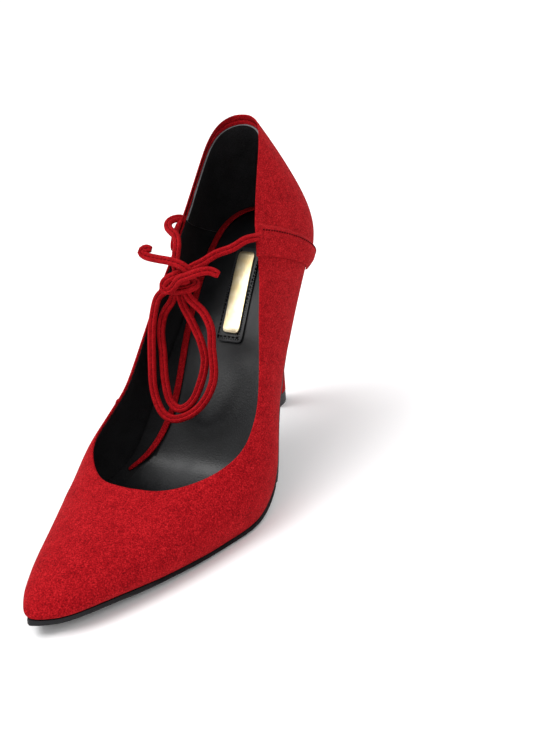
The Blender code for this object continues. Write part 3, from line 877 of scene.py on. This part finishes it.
@dataclass(frozen=True)
class Tie:
    """The cord from the tunnel's mouths to the knot, with its loops and ends."""

    neck: Point = (0.0000, 0.0420, 0.0905)
    neck_turn: float = 0.0021
    neck_length: float = 0.0085
    cord: float = 0.0038
    coil_turns: float = 1.6
    coil_pitch: float = 0.0042
    coil_clear: float = 0.0010
    coil_points: int = 14
    coil_start: float = 0.6
    coil_top: float = 0.62
    face: Point = (0.30, -0.80, 0.52)
    outer_bar: tuple[Point, ...] = (
        (0.0322, 0.0606, 0.1098), (0.0309, 0.0572, 0.1111), (0.0280, 0.0527, 0.1111),
        (0.0228, 0.0498, 0.1081), (0.0162, 0.0468, 0.1059), (0.0107, 0.0442, 0.1027),
        (0.0063, 0.0426, 0.1006), (0.0026, 0.0420, 0.0976), (0.0018, 0.0420, 0.0905),
    )
    inner_bar: tuple[Point, ...] = (
        (-0.0018, 0.0420, 0.0905), (-0.0022, 0.0420, 0.0990), (-0.0030, 0.0440, 0.1035),
        (-0.0042, 0.0485, 0.1085), (-0.0066, 0.0520, 0.1112), (-0.0100, 0.0545, 0.1122),
        (-0.0129, 0.0568, 0.1131), (-0.0141, 0.0590, 0.1146), (-0.0132, 0.0612, 0.1157),
        (-0.0112, 0.0636, 0.1158), (-0.0090, 0.0658, 0.1150),
    )
    loop_outer: tuple[Point, ...] = (
        (-0.0062, 0.0392, 0.0905), (-0.0104, 0.0380, 0.0872), (-0.0122, 0.0365, 0.0827),
        (-0.0132, 0.0330, 0.0728), (-0.0123, 0.0281, 0.0586), (-0.0105, 0.0239, 0.0466),
        (-0.0058, 0.0208, 0.0380), (0.0006, 0.0196, 0.0355), (0.0085, 0.0201, 0.0382),
        (0.0149, 0.0215, 0.0433), (0.0191, 0.0238, 0.0502), (0.0206, 0.0263, 0.0576),
        (0.0187, 0.0302, 0.0682), (0.0176, 0.0330, 0.0760), (0.0135, 0.0354, 0.0822),
        (0.0087, 0.0368, 0.0855), (0.0059, 0.0375, 0.0874), (0.0030, 0.0392, 0.0908),
    )
    loop_inner: tuple[Point, ...] = (
        (-0.0030, 0.0408, 0.0895), (-0.0062, 0.0416, 0.0838), (-0.0099, 0.0394, 0.0779),
        (-0.0109, 0.0365, 0.0701), (-0.0091, 0.0332, 0.0617), (-0.0070, 0.0288, 0.0504),
        (-0.0035, 0.0253, 0.0418), (0.0022, 0.0238, 0.0387), (0.0083, 0.0250, 0.0426),
        (0.0119, 0.0278, 0.0503), (0.0135, 0.0316, 0.0602), (0.0107, 0.0348, 0.0682),
        (0.0052, 0.0381, 0.0760), (0.0004, 0.0406, 0.0819), (-0.0010, 0.0410, 0.0860),
        (-0.0010, 0.0412, 0.0895),
    )
    end_left: tuple[Point, ...] = (
        (0.0086, 0.0361, 0.1002), (0.0074, 0.0359, 0.1016), (0.0046, 0.0356, 0.1037),
        (-0.0004, 0.0357, 0.1050), (-0.0075, 0.0366, 0.1053), (-0.0137, 0.0376, 0.1057),
        (-0.0170, 0.0386, 0.1070), (-0.0155, 0.0396, 0.1086), (-0.0126, 0.0402, 0.1082),
    )
    end_right: tuple[Point, ...] = (
        (0.0062, 0.0392, 0.0998), (0.0018, 0.0350, 0.0992), (-0.0030, 0.0336, 0.0966),
        (-0.0044, 0.0332, 0.0936), (-0.0022, 0.0330, 0.0922), (0.0007, 0.0332, 0.0940),
        (0.0046, 0.0325, 0.0982), (0.0097, 0.0319, 0.1004), (0.0157, 0.0322, 0.1026),
        (0.0197, 0.0340, 0.1027), (0.0233, 0.0350, 0.1008),
    )

    def knot(self) -> tuple[Point, ...]:
        """The cord wound round the neck's two strands."""
        wide = self.neck_turn + self.cord + self.coil_clear
        deep = self.cord + self.coil_clear
        points = []
        for k in range(round(self.coil_turns * self.coil_points) + 1):
            turn = k / self.coil_points
            angle = 2 * math.pi * turn + self.coil_start
            rise = self.neck_length * self.coil_top - self.coil_pitch * turn
            points.append(tuple(Vector(self.neck) + Vector((
                wide * math.cos(angle), -deep * math.sin(angle), rise))))
        return tuple(points)

    def build(self, finishes: Finishes) -> None:
        """Makes the crossings, the knot, the loops and the ends."""
        suede, thread = finishes.cord, finishes.cord_thread
        for name, points in (("bar_outer", self.outer_bar), ("bar_inner", self.inner_bar)):
            run = CordRun(name, points, self.face, "tie_bars")
            line = run.line()
            finish_piece(run.tube(line), suede, ("tie_bars",))
            run.stitches(line, thread)
        free = (
            CordRun("knot_wrap", self.knot(), self.face, "knot", lay="coiled"),
            CordRun("outer_loop", self.loop_outer, self.face, "loop_outer"),
            CordRun("inner_loop", self.loop_inner, self.face, "loop_inner"),
            CordRun("left_end", self.end_left, self.face, "end_left", "bare", "loose"),
            CordRun("right_end", self.end_right, self.face, "end_right", "bare", "loose"),
        )
        for run in free:
            run.build(suede, thread)


# The shoe's own pieces

@dataclass(frozen=True)
class Core:
    """The feather line's middle from toe to heel, which tells inside from outside."""

    stations: tuple[Point, ...] = (
        (0.0040, -0.0685, 0.0056), (0.0058, -0.0460, 0.0039), (0.0068, -0.0200, 0.0023),
        (0.0088, 0.0000, 0.0023), (0.0112, 0.0200, 0.0079), (0.0118, 0.0400, 0.0340),
        (0.0118, 0.0595, 0.0550), (0.0106, 0.0800, 0.0700), (0.0090, 0.1000, 0.0835),
        (0.0068, 0.1200, 0.0930), (0.0045, 0.1336, 0.0960),
    )
    lift: float = 0.012
    front: float = -0.060
    back: float = 0.092
    facing: float = -0.30

    def base(self, y: float) -> Vector:
        """The feather line's middle at a place along the foot."""
        rows = self.stations
        if y <= rows[0][1]:
            return Vector((rows[0][0], y, rows[0][2]))
        for a, b in zip(rows, rows[1:]):
            if y <= b[1]:
                q = (y - a[1]) / (b[1] - a[1])
                return Vector(a).lerp(Vector(b), q)
        return Vector((rows[-1][0], y, rows[-1][2]))

    def faces_in(self, place: Vector, normal: Vector) -> bool:
        """Whether a face looks at the foot.

        Args:
            place: the face's middle.
            normal: the way it faces.

        Returns:
            True on the inside of the shoe.
        """
        middle = self.base(min(max(place.y, self.front), self.back)) + Vector((0, 0, self.lift))
        ray = (place - middle).normalized()
        return normal.dot(ray) < self.facing

    def height(self, place: Vector) -> float:
        """How far a place lies over the feather line."""
        return place.z - self.base(place.y).z


@dataclass(frozen=True)
class Upper:
    """Vamp and quarters in suede, with the black lining inside."""

    levels: int = 2
    lining_thickness: float = 0.00030
    panel_from: float = 0.0560
    rim_height: float = 0.014
    fold: float = 0.0012
    fold_share: float = 0.8
    counter_edge: Point = (0.0, 0.065, 0.115)
    counter_way: Point = (0.0, 0.41, 0.91)
    counter_thickness: float = 0.00085
    core: Core = Core()

    def build(self, finishes: Finishes) -> Object:
        """Makes the suede wall and its lining.

        Args:
            finishes: the shoe's materials.

        Returns:
            The suede wall.
        """
        wall = copy_of("upper", "upper_suede")
        wall.data.materials.append(finishes.upper)
        wall.data.materials.append(finishes.lining)
        for face in wall.data.polygons:
            face.material_index = int(self.core.faces_in(face.center, face.normal))
        subdivide(wall, self.levels)
        lining = add_object("upper_lining", wall.data.copy())
        for face in wall.data.polygons:
            face.material_index = 0
        wall.data.materials.pop(index=1)
        smooth_by_angle(wall, SUEDE_TURN)
        finish_piece(wall, finishes.upper, ("upper",))
        self.line_with(lining, finishes)
        return wall

    def line_with(self, lining: Object, finishes: Finishes) -> None:
        """Cuts a copy of the wall down to its inside and makes the two linings of it.

        Args:
            lining: the copy, with one material outside and another inside.
            finishes: the shoe's materials.
        """
        edit(lining)
        bpy.ops.mesh.select_all(action="DESELECT")
        leave()
        for face in lining.data.polygons:
            face.select = face.material_index == 0
        bpy.ops.object.mode_set(mode="EDIT")
        bpy.ops.mesh.delete(type="FACE")
        leave()
        lining.data.materials.clear()
        self.trim(lining)
        counter = add_object("counter_lining", lining.data.copy())
        self.thicken(lining, self.lining_thickness)
        finish_piece(lining, finishes.lining)
        self.counter_from(counter, finishes)

    def trim(self, lining: Object) -> None:
        """Cuts the lining back behind the fold of the topline and of the back panel."""
        mesh = bmesh.new()
        mesh.from_mesh(lining.data)
        rim = [edge for edge in mesh.edges
               if edge.is_boundary and self.core.height(edge.verts[0].co) > self.rim_height]
        front = {face for edge in rim for face in edge.link_faces
                 if face.calc_center_median().y < self.panel_from}
        behind = [edge for edge in rim if edge.link_faces[0] not in front]
        bmesh.ops.delete(mesh, geom=list(front), context="FACES")
        for vert in {vert for edge in behind if edge.is_valid for vert in edge.verts}:
            below = [edge.other_vert(vert) for edge in vert.link_edges if not edge.is_boundary]
            if below:
                way = below[0].co - vert.co
                vert.co += way.normalized() * min(self.fold, self.fold_share * way.length)
        mesh.to_mesh(lining.data)
        mesh.free()

    def thicken(self, piece: Object, thickness: float, rim: int = 0) -> None:
        """Gives a sheet its thickness on the foot's side.

        Args:
            piece: the sheet.
            thickness: how thick it becomes.
            rim: the material of its cut edge, counted from the face's own.
        """
        thick = piece.modifiers.new("thickness", "SOLIDIFY")
        thick.thickness, thick.offset = thickness, 1.0
        thick.material_offset_rim = rim
        apply_modifiers(piece)
        smooth_by_angle(piece, SUEDE_TURN)

    def counter_from(self, counter: Object, finishes: Finishes) -> None:
        """Cuts the second lining round the heel's back and shows its raw edge."""
        counter.data.materials.append(finishes.counter)
        counter.data.materials.append(finishes.raw_edge)
        edit(counter)
        bpy.ops.mesh.select_all(action="SELECT")
        bpy.ops.mesh.bisect(plane_co=self.counter_edge, plane_no=self.counter_way, clear_inner=True)
        leave()
        self.thicken(counter, self.counter_thickness, 1)
        finish_piece(counter, finishes.counter)


@dataclass(frozen=True)
class ArchSeam:
    """The seam of vamp and quarter on the inner side, with its folded top."""

    pitch: float = 0.0009
    ridge: Stitch = Stitch(0.0020, 0.0011, 0.00075)
    ridge_lift: float = 0.00005
    shadow: Stitch = Stitch(0.0013, 0.00030, 0.00024)
    shadow_shift: Point = (0.0, -0.00075, -0.0005)
    fold: Stitch = Stitch(0.0034, 0.0026, 0.0024)
    fold_lift: float = 0.0004
    line: tuple[Point, ...] = (
        (-0.0243, 0.0122, 0.0446), (-0.0250, 0.0170, 0.0430), (-0.0256, 0.0230, 0.0412),
        (-0.0250, 0.0290, 0.0392), (-0.0235, 0.0340, 0.0358), (-0.0215, 0.0365, 0.0335),
    )

    def build(self, wall: Object, finishes: Finishes) -> None:
        """Lays the seam on the wall.

        Args:
            wall: the suede wall that carries it.
            finishes: the shoe's materials.
        """
        points, outs = on_surface(wall, smooth_line(self.line, self.pitch))
        sew("arch_seam", points, outs, self.ridge, finishes.upper, self.ridge_lift)
        spots, outs = on_surface(wall, [point + Vector(self.shadow_shift) for point in points])
        sew("arch_seam_shadow", spots, outs, self.shadow, finishes.red_thread)
        top, out = on_surface(wall, [Vector(self.line[0])])
        sew("arch_seam_fold", top, out, self.fold, finishes.upper, self.fold_lift)


@dataclass(frozen=True)
class BackPanel:
    """The raised suede panel round the heel, with the tunnel for the cord.

    Its stitches are looked for from outside and above, so that they lie on the outer face.
    """

    levels: int = 2
    crease_turn: float = 60.0
    crease: float = 0.35
    pitch: float = 0.0018
    stitch: Stitch = Stitch(0.00135, 0.00080, 0.00070)
    stitch_lift: float = 0.00008
    stitch_slant: float = 10.0
    search: tuple[float, float] = (0.004, 0.001)
    inner_row: tuple[Point, ...] = (
        (-0.0182, 0.1041, 0.0840), (-0.0219, 0.0934, 0.0938), (-0.0196, 0.0824, 0.1018),
        (-0.0149, 0.0716, 0.1083), (-0.0098, 0.0629, 0.1129),
    )
    outer_row: tuple[Point, ...] = (
        (0.0345, 0.1082, 0.0862), (0.0390, 0.0965, 0.0958), (0.0370, 0.0844, 0.1035),
        (0.0333, 0.0725, 0.1093), (0.0296, 0.0629, 0.1129),
    )

    def build(self, finishes: Finishes) -> None:
        """Makes the panel and the two rows that close its tunnel."""
        panel = copy_of("counter_panel", "back_panel")
        keep_creases(panel, self.crease_turn, self.crease)
        subdivide(panel, self.levels)
        smooth_by_angle(panel, SUEDE_TURN)
        finish_piece(panel, finishes.panel, ("counter_panel",))
        for side, row in ((Side.INNER, self.inner_row), (Side.OUTER, self.outer_row)):
            outside = Vector((self.search[0] * side.value, 0.0, self.search[1]))
            spots, outs = on_surface(panel, [point + outside for point in smooth_line(row, self.pitch)])
            sew("tunnel_row_" + side.name.lower(), spots, outs, self.stitch, finishes.red_thread,
                self.stitch_lift, self.stitch_slant)


@dataclass(frozen=True)
class Footbed:
    """Insole with its suede rand.

    The margin lists places along Y with the rand's place along X there. What lies further inwards
    is lining, not sock.
    """

    sock_creases: tuple[float, float] = (50.0, 0.8)
    rand_creases: tuple[float, float] = (50.0, 0.3)
    margin: tuple[tuple[float, float], ...] = (
        (-0.0120, -0.0290), (0.0128, -0.0195), (0.0250, -0.0110), (0.0400, -0.0065),
        (0.0595, -0.0091), (0.0800, -0.0118), (0.1000, -0.0138), (0.1336, -0.0170),
    )

    def build(self, finishes: Finishes) -> None:
        """Makes the footbed's pieces."""
        sock = copy_of("insole", "sock")
        keep_creases(sock, *self.sock_creases)
        subdivide(sock, 1)
        smooth_by_angle(sock, LEATHER_TURN)
        sock.data.materials.append(finishes.sock)
        sock.data.materials.append(finishes.lining)
        for face in sock.data.polygons:
            face.material_index = int(self.beside_rand(face.center))
        finish_piece(sock, finishes.sock, ("insole",))
        rand = copy_of("insole_rand", "rand")
        keep_creases(rand, *self.rand_creases)
        subdivide(rand, 2)
        smooth_by_angle(rand, SUEDE_TURN)
        finish_piece(rand, finishes.strip, ("insole_rand",))

    def beside_rand(self, place: Vector) -> bool:
        """Whether a place of the footbed lies between the rand and the inner wall."""
        for a, b in zip(self.margin, self.margin[1:]):
            if a[0] <= place.y <= b[0]:
                return place.x < a[1] + (b[1] - a[1]) * (place.y - a[0]) / (b[0] - a[0])
        return False


@dataclass(frozen=True)
class Patch:
    """The black patch on the sock, with its stitch rows, toothed edge and blank plate.

    Its stitches are looked for from over the patch, so that they lie on its top.
    """

    half_width: float = 0.0064
    half_length: float = 0.0256
    lean: float = -0.0625
    over: float = 0.004
    round: float = 0.00022
    plate_round: float = 0.00028
    stitch: Stitch = Stitch(0.0016, 0.00085, 0.00060)
    stitch_pitch: float = 0.0021
    stitch_inset: float = 0.0012
    stitch_lift: float = 0.00012
    tooth: Stitch = Stitch(0.00075, 0.001125, 0.0009)
    tooth_pitch: float = 0.0013
    tooth_inset: float = 0.0003
    tooth_ends: float = 0.0006
    tooth_lift: float = -0.00030
    front_teeth: int = 11

    def build(self, finishes: Finishes) -> None:
        """Makes the patch, sews it down and puts the plate on it."""
        patch = copy_of("sock_patch", "patch")
        soften(patch, self.round)
        smooth_by_angle(patch)
        finish_piece(patch, finishes.patch, ("sock_patch",))
        self.sew_down(patch, finishes)
        plate = copy_of("plate", "gilt_plate")
        soften(plate, self.plate_round, 3)
        smooth_by_angle(plate, METAL_TURN)
        finish_piece(plate, finishes.gilt, ("plate",))

    def up(self) -> Vector:
        """The direction away from the patch's top."""
        low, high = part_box("sock_patch")
        return Vector((0.0, low.z - high.z, high.y - low.y)).normalized()

    def row(self, start: tuple[float, float], end: tuple[float, float], count: int) -> list[Vector]:
        """Even places just over the patch.

        Args:
            start: the first place, across the patch and along it from its middle.
            end: the last place, likewise.
            count: how many places.

        Returns:
            The places in the part's frame.
        """
        low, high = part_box("sock_patch")
        middle = Vector([(a + b) / 2 for a, b in zip(low, high)]) + self.over * self.up()
        way = Vector((0.0, high.y - low.y, high.z - low.z)).normalized()
        way += Vector((self.lean, 0.0, 0.0))
        places = []
        for k in range(count):
            across, along = Vector(start).lerp(Vector(end), k / (count - 1))
            places.append(middle + way * along + Vector((across, 0.0, 0.0)))
        return places

    def sew_down(self, patch: Object, finishes: Finishes) -> None:
        """The patch's stitch rows and its toothed edge, at both sides and the front end."""
        wide, reach = self.half_width - self.stitch_inset, self.half_length - self.stitch_inset
        edge, end = self.half_width - self.tooth_inset, self.half_length - self.tooth_ends
        brow, rim = self.half_width - self.tooth_ends, self.half_length - self.tooth_inset
        along = round(2 * reach / self.stitch_pitch) + 1
        across = round(2 * wide / self.stitch_pitch) + 1
        teeth = round(2 * self.half_length / self.tooth_pitch) + 1
        runs = []
        for side in Side:
            x, name = side.value, side.name.lower()
            runs.append(("row_" + name, (x * wide, -reach), (x * wide, reach), along))
            runs.append(("teeth_" + name, (x * edge, -end), (x * edge, end), teeth))
        runs.append(("row_front", (-wide, -reach), (wide, -reach), across))
        runs.append(("teeth_front", (-brow, -rim), (brow, -rim), self.front_teeth))
        for name, start, end, count in runs:
            toothed = name.startswith("teeth")
            spots, _ = on_surface(patch, self.row(start, end, count))
            sew("patch_" + name, spots, [self.up()] * count, self.tooth if toothed else self.stitch,
                finishes.black_thread, self.tooth_lift if toothed else self.stitch_lift)


@dataclass(frozen=True)
class Underside:
    """Outsole with its flap, covered heel and top piece."""

    breast: float = 0.020
    crease_turn: float = 40.0
    sole_crease: float = 0.6
    tip_round: float = 0.0003
    heel_turn: float = 50.0

    def build(self, finishes: Finishes) -> None:
        """Makes the three pieces."""
        sole = copy_of("outsole", "outsole_dressed")
        keep_creases(sole, self.crease_turn, self.sole_crease)
        keep_creases(sole, self.crease_turn, 1 - self.sole_crease, self.breast)
        subdivide(sole, 1)
        smooth_by_angle(sole, LEATHER_TURN)
        finish_piece(sole, finishes.sole, ("outsole",))
        heel = copy_of("heel", "heel_cover")
        keep_creases(heel, self.crease_turn, 1.0)
        subdivide(heel, 2)
        smooth_by_angle(heel, self.heel_turn)
        finish_piece(heel, finishes.heel, ("heel",))
        tip = copy_of("top_piece", "heel_tip")
        soften(tip, self.tip_round, 3)
        smooth_by_angle(tip)
        finish_piece(tip, finishes.tip, ("top_piece",))


def main() -> None:
    """Builds the studio and then the shoe, piece by piece."""
    logging.basicConfig(level=logging.INFO, format="%(message)s")
    Studio().build()
    finishes = Finishes()
    Tie().build(finishes)
    wall = Upper().build(finishes)
    ArchSeam().build(wall, finishes)
    BackPanel().build(finishes)
    Footbed().build(finishes)
    Patch().build(finishes)
    Underside().build(finishes)


if __name__ == "__main__":
    main()
